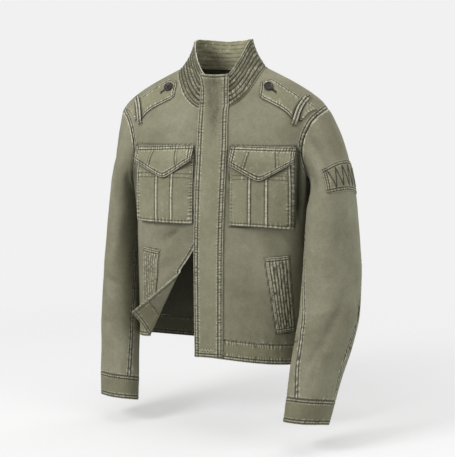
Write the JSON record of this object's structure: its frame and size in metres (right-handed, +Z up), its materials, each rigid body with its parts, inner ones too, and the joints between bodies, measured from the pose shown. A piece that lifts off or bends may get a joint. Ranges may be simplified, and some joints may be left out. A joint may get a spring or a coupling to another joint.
{
  "type": "field jacket",
  "caption": "Washed twill field jacket with a stitched stand collar, fly front, two flapped chest pockets, shoulder straps and a turned-back lower front corner.",
  "frame": {"origin": "inside the neck, on the middle plane, level with the shoulder seams at the collar, where the wearer's shoulders hold the jacket up", "axes": "+Z up, -Y the front, +X the wearer's left"},
  "size_m": [0.6238, 0.329, 0.8435],
  "materials": {
    "twill": "garment-washed cotton twill, matt",
    "horn": "dark horn-look buttons, satin"
  },
  "bodies": {
    "root": {"front_left": "twill", "front_right": "twill", "back": "twill", "hem_band_left": "twill", "hem_band_right": "twill", "hem_band_back": "twill", "collar": "twill", "front_fly": "twill", "chest_pocket_left": "twill", "chest_pocket_right": "twill", "pocket_flap_left": "twill", "pocket_flap_right": "twill", "hand_pocket_welt_left": "twill", "hand_pocket_welt_right": "twill", "shoulder_strap_left": "twill", "shoulder_strap_right": "twill", "strap_loop_left": "twill", "strap_loop_right": "twill", "sleeve_upper_left": "twill", "sleeve_upper_right": "twill", "sleeve_under_left": "twill", "sleeve_under_right": "twill", "cuff_left": "twill", "cuff_right": "twill", "sleeve_patch": "twill", "strap_button_left": "horn", "strap_button_right": "horn"}
  },
  "joints": []
}
